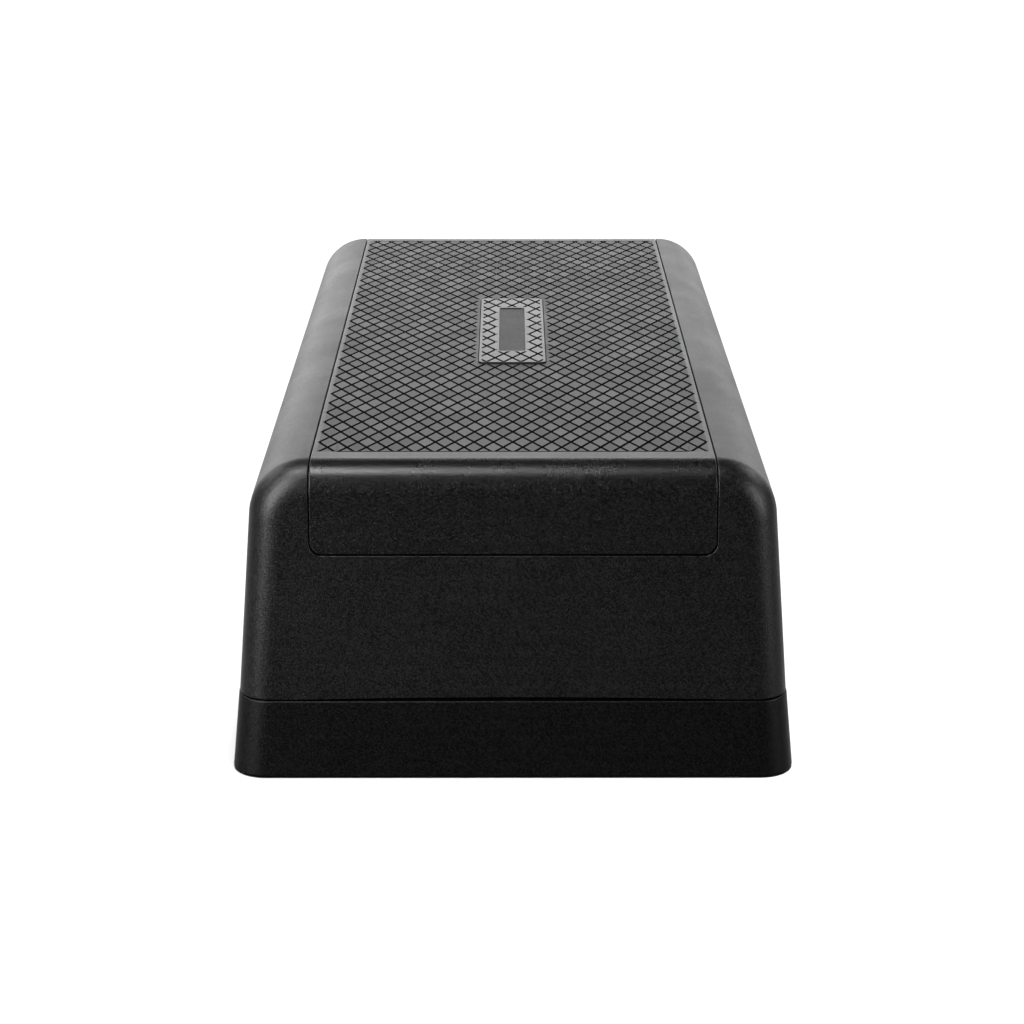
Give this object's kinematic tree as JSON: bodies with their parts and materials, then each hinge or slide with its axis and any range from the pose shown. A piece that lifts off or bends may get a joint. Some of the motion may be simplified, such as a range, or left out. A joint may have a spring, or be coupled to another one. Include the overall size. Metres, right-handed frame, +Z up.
{
  "type": "aerobic step platform",
  "caption": "Aerobic step: a tapered moulded platform with a diamond tread panel over its top and ends, standing on a low plinth that it lifts off, with rubber feet.",
  "frame": {"origin": "floor level, under the middle of the plinth", "axes": "+Z up, +Y along the length away from the end that the picture shows, +X to the right of that end"},
  "size_m": [0.3552, 0.7198, 0.2014],
  "materials": {
    "moulded_plastic": "black, fine leather grain",
    "tread_rubber": "black, coarse leather grain, moulded diamond tread",
    "foot_rubber": "dark grey, matt",
    "screw_steel": "zinc plated"
  },
  "bodies": {
    "plinth": {"base_frame": "moulded_plastic", "base_foot_front_left": "foot_rubber", "base_foot_front_right": "foot_rubber", "base_foot_rear_left": "foot_rubber", "base_foot_rear_right": "foot_rubber", "base_foot_mid_front_left": "foot_rubber", "base_foot_mid_front_right": "foot_rubber", "base_foot_mid_rear_left": "foot_rubber", "base_foot_mid_rear_right": "foot_rubber"},
    "platform": {"platform_shell": "moulded_plastic", "tread_panel": "tread_rubber", "tread_screws": "screw_steel", "platform_foot_front_left": "foot_rubber", "platform_foot_front_right": "foot_rubber", "platform_foot_rear_left": "foot_rubber", "platform_foot_rear_right": "foot_rubber", "platform_foot_mid_front_left": "foot_rubber", "platform_foot_mid_front_right": "foot_rubber", "platform_foot_mid_rear_left": "foot_rubber", "platform_foot_mid_rear_right": "foot_rubber"}
  },
  "joints": [
    {"name": "platform_lift", "type": "slide", "parent": "plinth", "child": "platform", "axis": [0, 0, 1], "range_m": [0, 0.12]}
  ]
}
